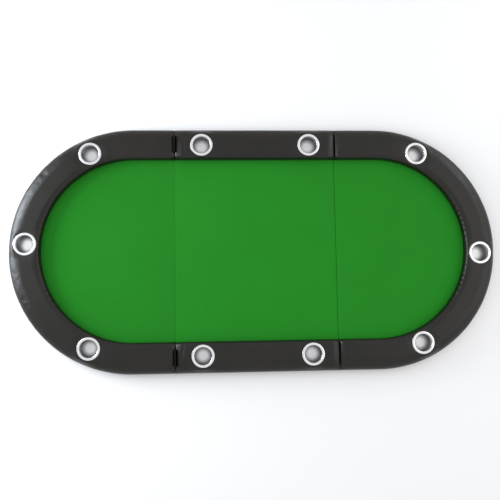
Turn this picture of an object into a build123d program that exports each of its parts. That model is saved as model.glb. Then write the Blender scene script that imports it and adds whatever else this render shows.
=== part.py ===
from build123d import *
from math import asin, cos, degrees, radians, sin
import os

# Folding card table top in three panels, lying open and flat, in millimetres.
# X runs along the table, Y across it, Z is up.  The origin is under the middle of
# the top, on the surface that the feet stand on.  The left panel folds up and over
# the middle one, and the right panel folds down and under it.

os.makedirs("parts", exist_ok=True)

# Overall sizes
table_length = 2134
table_width = 1067
panel_count = 3

# Heights, from the feet up
foot_height = 6
board_thick = 12
underlay_thick = 3
cloth_thick = 1
core_thick = 24
rail_rise = 41          # rail's crown above the playing cloth
cover_thick = 1.2

# Armrest rail, in section
rail_width = 134
outer_round = 28
inner_round = 14
side_padding = 10       # foam on either side of the core
cloth_grip = 18         # how far the cloth runs in under the rail
cloth_clear = 0.5       # cloth's edge to the step in the core
edge_clear = 0.3        # board's edge to the vinyl round it
hem_width = 26          # vinyl turned under the board
hem_staple_inset = 14

# Joints between the panels, all measured from the joint's own plane
up_board_gap = 0.5
up_roll = 18            # rounding of the padded rail ends
under_board_gap = 1.2
under_rail_gap = 1.4
under_roll = 13
roll_break = 0.1        # height at which a rolled end leaves the flat crown

# Cup holders
cup_bore = 76
cup_wall = 1
cup_clear = 0.5
cup_corner = 5
flange_lip = 11         # flange's reach past the cup's wall
flange_edge = 0.7
flange_rise = 1.2
flange_margin = 10      # flange to the rail's inner edge
corner_cup_step = 22    # degrees between fixings round the end; the cup takes the third
end_cup_offset = 28     # end cup's distance off the table's long centre line
middle_cup_share = 2 / 3    # of the way from the middle of the table to a joint

# Rail hinges, on the left joint, standing between the padded rail ends
rail_hinge_width = 76
rail_leaf_thick = 1.5
rail_leaf_foot = 4.5    # lower edge above the board
rail_leaf_screw_spread = 25
rail_leaf_screw_low = 9     # lower screws above the board
rail_leaf_screw_high = 5    # upper screws below the core's top
rail_knuckle_radius = 3
rail_axis_clear = 0.3   # axis above the cup flanges

# Board hinges, on the right joint, under the boards
board_hinge_width = 70
board_leaf_thick = 1.5
board_leaf_length = 30
board_leaf_screw_near = 11
board_leaf_screw_far = 22
board_leaf_screw_spread = 24
board_knuckle_clear = 0.45  # barrel above the surface that the feet stand on
fold_clear = 0.5        # feet to the other panel's board when folded
board_hinge_inset = 183.5   # outer hinges' middles to the table's long edges

# Both kinds of hinge
knuckle_count = 5
knuckle_gap = 0.4
pin_radius = 1.25
pin_clear = 0.05
pin_head_radius = 1.9
pin_head_thick = 0.8
leaf_clear = 0.3

# Screws, staples and feet
rail_screw_radius = 2
rail_screw_length = 32
end_screw_inset = 60    # last rail screws of the end panels to the joint
middle_screw_share = 2 / 3  # middle rail screws' pitch in terms of the cups' X
hinge_screw_radius = 1.5
rail_hinge_screw_length = 18
board_hinge_screw_length = 11
screw_clear = 0.05
screw_point = 1.5       # length of a screw's point in terms of its radius
screw_slots = 3         # widths of the head's cross slot in a radius
foot_radius = 13
foot_inset = 122
foot_joint_inset = 50   # middle panel's feet to the joints
end_foot_angles = (-82, -33, 33, 82)
foot_screw_length = 14
foot_sink = 2.4         # foot screw's head above the foot's underside
foot_chamfer = 0.8
staple_crown = 10
staple_wire = 0.8
staple_leg = 8
staple_pitch = 55

cut_over = 1            # how far a cutting strip runs past what it cuts

# Levels and places that follow from the sizes above
board_bottom = foot_height
board_top = board_bottom + board_thick
underlay_top = board_top + underlay_thick
cloth_top = underlay_top + cloth_thick
tuck_top = cloth_top + cover_thick
core_top = board_top + core_thick
rail_top = cloth_top + rail_rise
hem_bottom = board_bottom - cover_thick

end_radius = table_width / 2
end_centre = table_length / 2 - end_radius
joint_x = table_length / panel_count / 2
up_rail_gap = leaf_clear + rail_leaf_thick
core_outer = side_padding
core_inner = rail_width - side_padding
cloth_inset = rail_width - cloth_grip
cup_radius = cup_bore / 2 + cup_wall
flange_radius = cup_radius + flange_lip
cup_inset = rail_width - flange_margin - flange_radius
cup_hole_radius = cup_radius + cup_clear
cup_ring = end_radius - cup_inset
corner_cup_angle = 3 * corner_cup_step
end_cup_angle = degrees(asin(end_cup_offset / cup_ring))
screw_ring = end_radius - rail_width / 2
foot_ring = end_radius - foot_inset
rail_axis_z = rail_top + flange_rise + rail_axis_clear
rail_leaf_drop = rail_axis_z - board_top - rail_leaf_foot
rail_hinge_y = screw_ring
board_fold_gap = foot_height + fold_clear
board_axis_z = board_bottom - board_fold_gap / 2
board_knuckle_radius = board_axis_z - board_knuckle_clear
board_hinge_y = end_radius - board_hinge_inset

# The panels: name, first and last X of its board, first and last X of its rail
left_end = -table_length / 2
panels = {
    "left": (left_end, -joint_x - up_board_gap, left_end, -joint_x - up_rail_gap),
    "middle": (
        -joint_x + up_board_gap,
        joint_x - under_board_gap,
        -joint_x + up_rail_gap,
        joint_x - under_rail_gap,
    ),
    "right": (joint_x + under_board_gap, -left_end, joint_x + under_rail_gap, -left_end),
}

# The rails: name, panel, rounding at its low and high X ends, which sides of the table
rails = {
    "left": ("left", 0, up_roll, (-1, 1)),
    "middle_front": ("middle", up_roll, under_roll, (-1,)),
    "middle_back": ("middle", up_roll, under_roll, (1,)),
    "right": ("right", under_roll, 0, (-1, 1)),
}


def round_end(angle, ring):
    """Place on a ring round the left end, by its angle from the long centre line."""
    return (-end_centre - ring * cos(radians(angle)), ring * sin(radians(angle)))


def turned(places):
    """The same places on the right panel, which is the left one turned half round."""
    return [(-x, -y) for x, y in places]


end_cups = {
    "end": round_end(end_cup_angle, cup_ring),
    "back": round_end(corner_cup_angle, cup_ring),
    "front": round_end(-corner_cup_angle, cup_ring),
}
middle_cup_x = joint_x * middle_cup_share
cups = {
    "left": list(end_cups.values()),
    "middle": [(x, y) for x in (-middle_cup_x, middle_cup_x) for y in (-cup_ring, cup_ring)],
    "right": turned(end_cups.values()),
}

end_screws = [
    round_end(side * step * corner_cup_step, screw_ring) for step in (1, 2, 4) for side in (-1, 1)
]
end_screws += [(-joint_x - end_screw_inset, side * screw_ring) for side in (-1, 1)]
middle_screw_x = [step * middle_cup_x * middle_screw_share for step in (-2, -1, 0, 1, 2)]
rail_screws = {
    "left": end_screws,
    "middle": [(x, side * screw_ring) for x in middle_screw_x for side in (-1, 1)],
    "right": turned(end_screws),
}

end_feet = [round_end(angle, foot_ring) for angle in end_foot_angles]
middle_foot_x = joint_x - foot_joint_inset
feet = {
    "left": end_feet,
    "middle": [(x, side * foot_ring) for x in (-middle_foot_x, middle_foot_x) for side in (-1, 1)],
    "right": turned(end_feet),
}


def outline(x_low, x_high, inset):
    """Face of the table's stadium outline, brought in by inset, between two X limits."""
    with BuildSketch() as face:
        SlotOverall(table_length - 2 * inset, table_width - 2 * inset)
        with Locations(((x_low + x_high) / 2, 0)):
            Rectangle(x_high - x_low, table_width, mode=Mode.INTERSECT)
    return face.sketch


def slab(x_low, x_high, inset, bottom, top):
    """Flat layer of a panel."""
    with BuildPart() as layer:
        with BuildSketch(Plane.XY.offset(bottom)):
            add(outline(x_low, x_high, inset))
        extrude(amount=top - bottom)
    return layer.part


def band(x_low, x_high, outer, inner, bottom, top, sides=(-1, 1)):
    """Strip that follows the table's edge, from inset outer to inset inner."""
    with BuildPart() as strip:
        with BuildSketch(Plane.XY.offset(bottom)):
            add(outline(x_low, x_high, outer))
            add(outline(x_low - cut_over, x_high + cut_over, inner), mode=Mode.SUBTRACT)
            for side in (-1, 1):
                if side not in sides:
                    with Locations((0, side * table_width / 2)):
                        Rectangle(table_length, table_width, mode=Mode.SUBTRACT)
        extrude(amount=top - bottom)
    return strip.part


def rail_ring(inset):
    """Closed ring of the padded rail's section, brought in by inset, all round the table."""
    height = rail_top - inset - board_top
    with BuildPart() as ring:
        with BuildLine() as path:
            Line((0, end_radius), (-end_centre, end_radius))
            CenterArc((-end_centre, 0), end_radius, 90, 180)
            Line((-end_centre, -end_radius), (end_centre, -end_radius))
            CenterArc((end_centre, 0), end_radius, -90, 180)
            Line((end_centre, end_radius), (0, end_radius))
        with BuildSketch(Plane.YZ) as section:
            with Locations((end_radius - rail_width / 2, board_top + height / 2)):
                Rectangle(rail_width - 2 * inset, height)
            fillet(section.vertices().group_by(Axis.Y)[-1].sort_by(Axis.X)[-1], outer_round - inset)
            fillet(section.vertices().group_by(Axis.Y)[-1].sort_by(Axis.X)[0], inner_round - inset)
        sweep(path=path.line)
    return ring.part


outer_ring = rail_ring(0)
padding_ring = rail_ring(cover_thick)


def rail_block(rail, ring, inset):
    """Stretch of a rail ring for one rail, with its ends at the joints rolled down."""
    panel, low_roll, high_roll, sides = rails[rail]
    x_low = panels[panel][2] + (inset if low_roll else 0)
    x_high = panels[panel][3] - (inset if high_roll else 0)
    height = rail_top - inset + roll_break
    with BuildPart() as block:
        add(ring)
        with BuildSketch(Plane.XZ) as side_view:
            with Locations(((x_low + x_high) / 2, height / 2)):
                Rectangle(x_high - x_low, height)
            if low_roll:
                fillet(side_view.vertices().group_by(Axis.Y)[-1].sort_by(Axis.X)[0], low_roll - inset)
            if high_roll:
                fillet(side_view.vertices().group_by(Axis.Y)[-1].sort_by(Axis.X)[-1], high_roll - inset)
        if len(sides) == 2:
            extrude(amount=table_width / 2, both=True, mode=Mode.INTERSECT)
        else:
            extrude(amount=-sides[0] * table_width / 2, mode=Mode.INTERSECT)
    return block.part


def drill(places, radius, bottom, top):
    """Straight holes down through whatever is being built, from top to bottom."""
    with Locations(*[(x, y, (bottom + top) / 2) for x, y in places]):
        Cylinder(radius, top - bottom, mode=Mode.SUBTRACT)


def countersink(places, radius, bottom):
    """Seats for countersunk heads that lie flush with a lower face."""
    with Locations(*[(x, y, bottom + radius / 2) for x, y in places]):
        Cone(2 * radius + screw_clear, radius + screw_clear, radius, mode=Mode.SUBTRACT)


def rail_cups(rail):
    """Cup holders that stand in one rail."""
    panel, _, _, sides = rails[rail]
    return [(x, y) for x, y in cups[panel] if len(sides) == 2 or y * sides[0] > 0]


def rail_hinge_sides(rail):
    """Rail ends that carry hinges: X direction from the joint to the rail, and the Y sides."""
    panel, _, _, sides = rails[rail]
    return {"left": -1, "middle": 1}.get(panel), sides


# Screw places on one rail hinge leaf (Y from its middle, Z) and one board hinge leaf (X, Y)
rail_leaf_screws = [
    (side * rail_leaf_screw_spread, z)
    for side in (-1, 1)
    for z in (board_top + rail_leaf_screw_low, core_top - rail_leaf_screw_high)
]
board_leaf_screws = [
    (board_leaf_screw_near, -board_leaf_screw_spread),
    (board_leaf_screw_far, 0),
    (board_leaf_screw_near, board_leaf_screw_spread),
]
board_hinge_rows = (-board_hinge_y, 0, board_hinge_y)


def rail_screw_places(sides, start):
    """Centres of the rail hinge screws on the given sides, at one X."""
    return [(start, side * rail_hinge_y + y, z) for side in sides for y, z in rail_leaf_screws]


def rail_hinge_holes(rail, depth):
    """Holes for a rail's hinge screws, from the left joint's plane into the rail's end."""
    panel, _, _, sides = rails[rail]
    direction = {"left": -1, "middle": 1, "right": 0}[panel]
    if direction:
        with Locations(*rail_screw_places(sides, -joint_x + direction * depth / 2)):
            Cylinder(hinge_screw_radius + screw_clear, depth, rotation=(0, 90, 0), mode=Mode.SUBTRACT)


def board_screw_places(direction):
    """Board hinge screws on one side of the right joint, in plan."""
    return [
        (joint_x + direction * x, row + y) for row in board_hinge_rows for x, y in board_leaf_screws
    ]


# Boards: fibreboard, countersunk below for the rail screws
for panel in panels:
    x_low, x_high = panels[panel][:2]
    with BuildPart() as board:
        add(slab(x_low, x_high, cover_thick + edge_clear, board_bottom, board_top))
        drill(rail_screws[panel], rail_screw_radius + screw_clear, board_bottom, board_top)
        countersink(rail_screws[panel], rail_screw_radius, board_bottom)
        foot_hole_top = foot_sink + foot_screw_length + screw_clear
        drill(feet[panel], hinge_screw_radius + screw_clear, board_bottom, foot_hole_top)
        if panel != "left":
            direction = 1 if panel == "right" else -1
            hinge_hole_top = board_bottom - board_leaf_thick + board_hinge_screw_length + screw_clear
            hinge_places = board_screw_places(direction)
            drill(hinge_places, hinge_screw_radius + screw_clear, board_bottom, hinge_hole_top)
    board.part.label = f"{panel}_board"
    export_step(board.part, f"parts/{panel}_board.step")


# Foam underlay and the playing cloth over it, both running in under the rail
for panel in panels:
    x_low, x_high = panels[panel][:2]
    with BuildPart() as underlay:
        add(slab(x_low, x_high, cloth_inset, board_top, underlay_top))
    underlay.part.label = f"{panel}_underlay"
    export_step(underlay.part, f"parts/{panel}_underlay.step")

    with BuildPart() as cloth:
        add(slab(x_low, x_high, cloth_inset, underlay_top, cloth_top))
    cloth.part.label = f"{panel}_playing_cloth"
    export_step(cloth.part, f"parts/{panel}_playing_cloth.step")


# Rails: a fibreboard core, foam over it and a vinyl cover over the foam
for rail in rails:
    panel, low_roll, high_roll, sides = rails[rail]
    face_low, face_high = panels[panel][2:]
    core_low = face_low + (cover_thick if low_roll else 0)
    core_high = face_high - (cover_thick if high_roll else 0)
    core_strip = band(core_low, core_high, core_outer, core_inner, board_top, core_top, sides)
    zone_low, zone_high = face_low - cut_over, face_high + cut_over
    cloth_zone = slab(zone_low, zone_high, cloth_inset - cloth_clear, board_top, cloth_top)
    tuck = band(face_low, face_high, cloth_inset, rail_width - cover_thick, cloth_top, tuck_top, sides)

    with BuildPart() as core:
        add(core_strip)
        add(cloth_zone, mode=Mode.SUBTRACT)
        add(tuck, mode=Mode.SUBTRACT)
        drill(rail_cups(rail), cup_hole_radius, board_top, core_top)
        screw_hole_top = board_bottom + rail_screw_length + screw_clear
        drill(rail_screws[panel], rail_screw_radius + screw_clear, board_top, screw_hole_top)
        rail_hinge_holes(rail, leaf_clear + rail_hinge_screw_length + screw_clear)
    core.part.label = f"{rail}_rail_core"
    export_step(core.part, f"parts/{rail}_rail_core.step")

    with BuildPart() as padding:
        add(rail_block(rail, padding_ring, cover_thick))
        add(core_strip, mode=Mode.SUBTRACT)
        add(cloth_zone, mode=Mode.SUBTRACT)
        add(tuck, mode=Mode.SUBTRACT)
        drill(rail_cups(rail), cup_hole_radius, board_top, rail_top)
    padding.part.label = f"{rail}_rail_padding"
    export_step(padding.part, f"parts/{rail}_rail_padding.step")

    # The cover's skirt hides the board's edge, and its hem is stapled underneath
    with BuildPart() as cover:
        add(rail_block(rail, outer_ring, 0))
        add(rail_block(rail, padding_ring, cover_thick), mode=Mode.SUBTRACT)
        add(cloth_zone, mode=Mode.SUBTRACT)
        add(tuck)
        add(band(face_low, face_high, 0, cover_thick, hem_bottom, board_top, sides))
        add(band(face_low, face_high, 0, hem_width, hem_bottom, board_bottom, sides))
        drill(rail_cups(rail), cup_hole_radius, board_top, rail_top)
        rail_hinge_holes(rail, up_rail_gap + cover_thick)
    cover.part.label = f"{rail}_rail_cover"
    export_step(cover.part, f"parts/{rail}_rail_cover.step")


# Cup holders: drawn steel cups that stand on the board, their flanges on the vinyl
with BuildPart() as cup_blank:
    with BuildSketch(Plane.XZ) as cup_section:
        with BuildLine():
            Polyline(
                (0, board_top),
                (cup_radius, board_top),
                (cup_radius, rail_top),
                (flange_radius, rail_top),
                (flange_radius, rail_top + flange_edge),
                (cup_radius, rail_top + flange_rise),
                (cup_bore / 2, rail_top + flange_rise),
                (cup_bore / 2, board_top + cup_wall),
                (0, board_top + cup_wall),
                close=True,
            )
        make_face()
        corners = cup_section.vertices()
        fillet(corners.sort_by_distance((cup_radius, board_top))[0], cup_corner + cup_wall)
        fillet(corners.sort_by_distance((cup_bore / 2, board_top + cup_wall))[0], cup_corner)
    revolve(axis=Axis.Z)

cup_names = {
    "left": list(end_cups),
    "middle": ["front_left", "back_left", "front_right", "back_right"],
    "right": ["end", "front", "back"],
}
for panel in panels:
    for name, place in zip(cup_names[panel], cups[panel]):
        with BuildPart() as cup_holder:
            with Locations(place):
                add(cup_blank.part)
        cup_holder.part.label = f"{panel}_{name}_cup_holder"
        export_step(cup_holder.part, f"parts/{panel}_{name}_cup_holder.step")


def wood_screw(radius, length):
    """Countersunk cross-head screw, its head's face at the origin and its point up +Z."""
    with BuildPart() as screw:
        with BuildSketch(Plane.XZ):
            with BuildLine():
                Polyline(
                    (0, 0),
                    (2 * radius, 0),
                    (radius, radius),
                    (radius, length - screw_point * radius),
                    (0, length),
                    close=True,
                )
            make_face()
        revolve(axis=Axis.Z)
        for turn in (0, 90):
            Box(2 * radius, radius / screw_slots, radius, rotation=(0, 0, turn), mode=Mode.SUBTRACT)
    return screw.part


rail_screw_blank = wood_screw(rail_screw_radius, rail_screw_length)
foot_screw_blank = wood_screw(hinge_screw_radius, foot_screw_length)
rail_hinge_screw_blank = wood_screw(hinge_screw_radius, rail_hinge_screw_length)
board_hinge_screw_blank = wood_screw(hinge_screw_radius, board_hinge_screw_length)

# Rubber feet, the screws that hold them, and the screws that hold the rails on
for panel in panels:
    with BuildPart() as panel_feet:
        with Locations(*[(x, y, foot_height / 2) for x, y in feet[panel]]):
            Cylinder(foot_radius, foot_height)
        chamfer(panel_feet.edges().filter_by(GeomType.CIRCLE).group_by(Axis.Z)[0], foot_chamfer)
        drill(feet[panel], 2 * hinge_screw_radius + screw_clear, 0, foot_sink)
        countersink(feet[panel], hinge_screw_radius, foot_sink)
        drill(feet[panel], hinge_screw_radius + screw_clear, foot_sink, foot_height)
    panel_feet.part.label = f"{panel}_feet"
    export_step(panel_feet.part, f"parts/{panel}_feet.step")

    with BuildPart() as foot_screws:
        with Locations(*[(x, y, foot_sink) for x, y in feet[panel]]):
            add(foot_screw_blank)
    foot_screws.part.label = f"{panel}_foot_screws"
    export_step(foot_screws.part, f"parts/{panel}_foot_screws.step")

    with BuildPart() as panel_rail_screws:
        with Locations(*[(x, y, board_bottom) for x, y in rail_screws[panel]]):
            add(rail_screw_blank)
    panel_rail_screws.part.label = f"{panel}_rail_screws"
    export_step(panel_rail_screws.part, f"parts/{panel}_rail_screws.step")


# Staples through the vinyl's hem: X, Y and the crown's direction
def end_staples():
    """Staple places round the left panel."""
    ring = end_radius - hem_staple_inset
    straight = end_centre - joint_x
    round_count = round(radians(180) * ring / staple_pitch)
    straight_count = round(straight / staple_pitch)
    places = []
    for step in range(round_count):
        angle = -90 + (step + 0.5) * 180 / round_count
        places.append((*round_end(angle, ring), 90 - angle))
    for step in range(straight_count):
        x = -end_centre + (step + 0.5) * straight / straight_count
        places += [(x, -ring, 0), (x, ring, 0)]
    return places


def middle_staples():
    """Staple places along both sides of the middle panel."""
    ring = end_radius - hem_staple_inset
    count = round(2 * joint_x / staple_pitch)
    places = []
    for step in range(count):
        x = -joint_x + (step + 0.5) * 2 * joint_x / count
        places += [(x, -ring, 0), (x, ring, 0)]
    return places


staples = {
    "left": end_staples(),
    "middle": middle_staples(),
    "right": [(-x, -y, turn) for x, y, turn in end_staples()],
}

with BuildPart() as staple_blank:
    with Locations((0, 0, -staple_wire / 2)):
        Box(staple_crown, staple_wire, staple_wire)
    with Locations(*[(side * (staple_crown - staple_wire) / 2, 0, staple_leg / 2) for side in (-1, 1)]):
        Box(staple_wire, staple_wire, staple_leg)

for panel in panels:
    with BuildPart() as cover_staples:
        with Locations(*[Location((x, y, hem_bottom), (0, 0, turn)) for x, y, turn in staples[panel]]):
            add(staple_blank.part)
    cover_staples.part.label = f"{panel}_cover_staples"
    export_step(cover_staples.part, f"parts/{panel}_cover_staples.step")


# Hinges
def span_box(x_span, y_span, z_span):
    """Box between three pairs of limits, each in either order."""
    spans = (x_span, y_span, z_span)
    with Locations(tuple((low + high) / 2 for low, high in spans)):
        Box(*[abs(high - low) for low, high in spans])


def hinge_leaf(direction, rows, width, knuckle_radius, plate, web):
    """One leaf of a hinge whose axis is Y through the origin.

    direction is the leaf's side in X, rows are its knuckles, counted from the middle
    one, and plate and web are each ((near X, far X), (low Z, high Z)).
    """
    pitch = width / knuckle_count
    knuckle_length = pitch - knuckle_gap
    with BuildPart() as leaf:
        (near, far), heights = plate
        span_box((direction * near, direction * far), (-width / 2, width / 2), heights)
        (near, far), heights = web
        for row in rows:
            edges = (row * pitch - knuckle_length / 2, row * pitch + knuckle_length / 2)
            span_box((direction * near, direction * far), edges, heights)
            with Locations((0, row * pitch, 0)):
                Cylinder(knuckle_radius, knuckle_length, rotation=(90, 0, 0))
        Cylinder(pin_radius + pin_clear, width, rotation=(90, 0, 0), mode=Mode.SUBTRACT)
    return leaf.part


def hinge_pin(width):
    """Pin along Y with a small head at each end of the barrel."""
    reach = (width - knuckle_gap) / 2 + pin_clear
    with BuildPart() as pin:
        Cylinder(pin_radius, 2 * reach, rotation=(90, 0, 0))
        with Locations((0, -reach - pin_head_thick / 2, 0), (0, reach + pin_head_thick / 2, 0)):
            Cylinder(pin_head_radius, pin_head_thick, rotation=(90, 0, 0))
    return pin.part


middle_rows = (-2, 0, 2)
swinging_rows = (-1, 1)

# Rail hinges: the leaves hang from the barrel, one on each padded rail end
rail_plate = ((leaf_clear, up_rail_gap), (-rail_leaf_drop, -rail_knuckle_radius - leaf_clear))
rail_web = ((leaf_clear, up_rail_gap), (-rail_knuckle_radius - leaf_clear, 0))
rail_leaves = {"left": (-1, swinging_rows), "middle": (1, middle_rows)}
table_sides = {"front": -1, "back": 1}

for side, y_sign in table_sides.items():
    for panel, (direction, rows) in rail_leaves.items():
        with BuildPart() as rail_leaf:
            with Locations((-joint_x, y_sign * rail_hinge_y, rail_axis_z)):
                add(
                    hinge_leaf(
                        direction, rows, rail_hinge_width, rail_knuckle_radius, rail_plate, rail_web
                    )
                )
            seats = rail_screw_places((y_sign,), -joint_x + direction * (leaf_clear + rail_leaf_thick / 2))
            with Locations(*seats):
                Cone(
                    hinge_screw_radius + screw_clear,
                    2 * hinge_screw_radius + screw_clear,
                    rail_leaf_thick,
                    rotation=(0, -90 * direction, 0),
                    mode=Mode.SUBTRACT,
                )
        rail_leaf.part.label = f"{side}_rail_hinge_{panel}_leaf"
        export_step(rail_leaf.part, f"parts/{side}_rail_hinge_{panel}_leaf.step")

with BuildPart() as rail_hinge_pins:
    with Locations(*[(-joint_x, y_sign * rail_hinge_y, rail_axis_z) for y_sign in (-1, 1)]):
        add(hinge_pin(rail_hinge_width))
rail_hinge_pins.part.label = "rail_hinge_pins"
export_step(rail_hinge_pins.part, "parts/rail_hinge_pins.step")

# Board hinges: the leaves lie flat under the boards, one on each side of the joint
leaf_near = board_knuckle_radius + leaf_clear
board_under = board_fold_gap / 2
board_plate = ((leaf_near, board_leaf_length), (board_under - board_leaf_thick, board_under))
board_web = ((leaf_clear, leaf_near), (0, board_under))
board_leaves = {"middle": (-1, middle_rows), "right": (1, swinging_rows)}
board_hinge_names = ("front", "centre", "back")

for name, row_y in zip(board_hinge_names, board_hinge_rows):
    for panel, (direction, rows) in board_leaves.items():
        with BuildPart() as board_leaf:
            with Locations((joint_x, row_y, board_axis_z)):
                add(
                    hinge_leaf(
                        direction, rows, board_hinge_width, board_knuckle_radius, board_plate, board_web
                    )
                )
            places = [(joint_x + direction * x, row_y + y) for x, y in board_leaf_screws]
            countersink(places, hinge_screw_radius, board_bottom - board_leaf_thick)
        board_leaf.part.label = f"{name}_board_hinge_{panel}_leaf"
        export_step(board_leaf.part, f"parts/{name}_board_hinge_{panel}_leaf.step")

with BuildPart() as board_hinge_pins:
    with Locations(*[(joint_x, row_y, board_axis_z) for row_y in board_hinge_rows]):
        add(hinge_pin(board_hinge_width))
board_hinge_pins.part.label = "board_hinge_pins"
export_step(board_hinge_pins.part, "parts/board_hinge_pins.step")

# Screws that hold the hinge leaves on, one group for each panel
for panel in panels:
    with BuildPart() as hinge_screws:
        if panel in rail_leaves:
            direction = rail_leaves[panel][0]
            for x, y, z in rail_screw_places((-1, 1), -joint_x + direction * leaf_clear):
                with Locations(Location((x, y, z), (0, 90 * direction, 0))):
                    add(rail_hinge_screw_blank)
        if panel in board_leaves:
            head_z = board_bottom - board_leaf_thick
            with Locations(*[(x, y, head_z) for x, y in board_screw_places(board_leaves[panel][0])]):
                add(board_hinge_screw_blank)
    hinge_screws.part.label = f"{panel}_hinge_screws"
    export_step(hinge_screws.part, f"parts/{panel}_hinge_screws.step")
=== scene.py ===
from math import atan2, ceil, cos, pi, radians, sin, sqrt, tan

import bmesh
import bpy
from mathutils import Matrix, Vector, noise


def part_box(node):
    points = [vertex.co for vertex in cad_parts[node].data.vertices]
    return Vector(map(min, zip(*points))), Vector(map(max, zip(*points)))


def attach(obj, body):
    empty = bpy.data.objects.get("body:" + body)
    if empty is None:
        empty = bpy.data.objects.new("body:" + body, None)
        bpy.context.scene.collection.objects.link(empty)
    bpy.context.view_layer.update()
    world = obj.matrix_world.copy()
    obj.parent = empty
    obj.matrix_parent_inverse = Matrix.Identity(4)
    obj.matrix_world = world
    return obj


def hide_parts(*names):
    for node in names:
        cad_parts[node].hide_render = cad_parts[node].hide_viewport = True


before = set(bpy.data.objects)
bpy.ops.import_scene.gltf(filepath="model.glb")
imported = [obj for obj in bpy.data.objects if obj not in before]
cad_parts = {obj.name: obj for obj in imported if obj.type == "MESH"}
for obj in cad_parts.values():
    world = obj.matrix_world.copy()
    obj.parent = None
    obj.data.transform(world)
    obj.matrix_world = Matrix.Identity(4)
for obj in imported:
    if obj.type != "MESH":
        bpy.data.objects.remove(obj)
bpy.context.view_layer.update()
print("frame loaded,", len(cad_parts), "nodes")


# sizes that the looks take from the frame, all in metres
def boxSize(node):
    low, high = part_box(node)
    return high - low


def boxCentre(node):
    low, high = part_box(node)
    return (low + high) / 2


endRadius = boxSize("left_rail_cover").y / 2
tableHalf = -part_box("left_rail_cover")[0].x
endCentre = tableHalf - endRadius
railWidth = boxSize("middle_front_rail_cover").y
boardBottom, boardTop = (corner.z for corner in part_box("left_board"))
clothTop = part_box("left_playing_cloth")[1].z
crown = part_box("left_rail_cover")[1].z
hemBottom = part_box("left_rail_cover")[0].z
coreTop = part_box("left_rail_core")[1].z
leafLow, leafHigh = (corner.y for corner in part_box("back_rail_hinge_left_leaf"))
upJointX = boxCentre("rail_hinge_pins").x
underJointX = boxCentre("board_hinge_pins").x
clothInset = endRadius - boxSize("middle_playing_cloth").y / 2
cupNodes = sorted(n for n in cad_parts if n.endswith("_cup_holder"))
cupCentres = {n: boxCentre(n) for n in cupNodes}
flangeRadius = boxSize(cupNodes[0]).x / 2
panels = ("left", "middle", "right")
hairGap = 0.00005  # left between two pieces that lie on each other


def makeObject(name, vertices, faces):
    mesh = bpy.data.meshes.new(name)
    mesh.from_pydata([tuple(v) for v in vertices], [], faces)
    mesh.validate()
    piece = bpy.data.objects.new(name, mesh)
    bpy.context.scene.collection.objects.link(piece)
    return piece


def bakeModifiers(piece):
    graph = bpy.context.evaluated_depsgraph_get()
    finished = bpy.data.meshes.new_from_object(piece.evaluated_get(graph))
    piece.modifiers.clear()
    old = piece.data
    piece.data = finished
    bpy.data.meshes.remove(old)
    piece.data.name = piece.name
    return piece


def smoothBy(piece, degreesLimit):
    piece.data.shade_smooth()
    piece.data.set_sharp_from_angle(angle=radians(degreesLimit))


def outwardFaces(piece):
    work = bmesh.new()
    work.from_mesh(piece.data)
    bmesh.ops.remove_doubles(work, verts=work.verts, dist=1e-6)
    bmesh.ops.recalc_face_normals(work, faces=work.faces)
    work.to_mesh(piece.data)
    work.free()


def dress(piece, material):
    piece.data.materials.clear()
    piece.data.materials.append(material)


def dressNode(node, material):
    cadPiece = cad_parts[node]
    cadPiece.data.materials.clear()
    cadPiece.data.materials.append(material)


def newMaterial(name, color, roughness, metallic=0.0):
    material = bpy.data.materials.new(name)
    material.use_nodes = True
    shader = material.node_tree.nodes["Principled BSDF"]
    shader.inputs["Base Color"].default_value = (*color, 1)
    shader.inputs["Roughness"].default_value = roughness
    shader.inputs["Metallic"].default_value = metallic
    return material, material.node_tree, shader


def addNode(tree, kind, settings=None, values=None):
    node = tree.nodes.new(kind)
    for key, value in (settings or {}).items():
        setattr(node, key, value)
    for key, value in (values or {}).items():
        node.inputs[key].default_value = value
    return node


def objectPoints(tree, stretch=(1, 1, 1)):
    place = addNode(tree, "ShaderNodeTexCoord")
    mapping = addNode(tree, "ShaderNodeMapping", values={"Scale": stretch})
    tree.links.new(place.outputs["Object"], mapping.inputs["Vector"])
    return mapping.outputs["Vector"]


def addNoise(tree, points, scale, detail=2.0, rough=0.5):
    node = addNode(
        tree, "ShaderNodeTexNoise", values={"Scale": scale, "Detail": detail, "Roughness": rough}
    )
    tree.links.new(points, node.inputs["Vector"])
    return node.outputs["Fac"]


def addRamp(tree, factor, stops):
    node = addNode(tree, "ShaderNodeValToRGB")
    ramp = node.color_ramp
    while len(ramp.elements) < len(stops):
        ramp.elements.new(0.5)
    for element, (place, color) in zip(ramp.elements, stops):
        element.position = place
        element.color = (*color, 1) if len(color) == 3 else color
    tree.links.new(factor, node.inputs["Fac"])
    return node.outputs["Color"]


def addRange(tree, factor, low, high, fromLow=0.0, fromHigh=1.0):
    node = addNode(
        tree,
        "ShaderNodeMapRange",
        values={"From Min": fromLow, "From Max": fromHigh, "To Min": low, "To Max": high},
    )
    tree.links.new(factor, node.inputs["Value"])
    return node.outputs["Result"]


def addMath(tree, operation, first, second=0.0):
    node = addNode(tree, "ShaderNodeMath", {"operation": operation})
    for slot, value in enumerate((first, second)):
        if isinstance(value, (int, float)):
            node.inputs[slot].default_value = value
        else:
            tree.links.new(value, node.inputs[slot])
    return node.outputs["Value"]


def addBump(tree, shader, height, distance, strength=1.0, below=None):
    node = addNode(tree, "ShaderNodeBump", values={"Strength": strength, "Distance": distance})
    tree.links.new(height, node.inputs["Height"])
    if below is not None:
        tree.links.new(below, node.inputs["Normal"])
    tree.links.new(node.outputs["Normal"], shader.inputs["Normal"])
    return node.outputs["Normal"]


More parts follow.
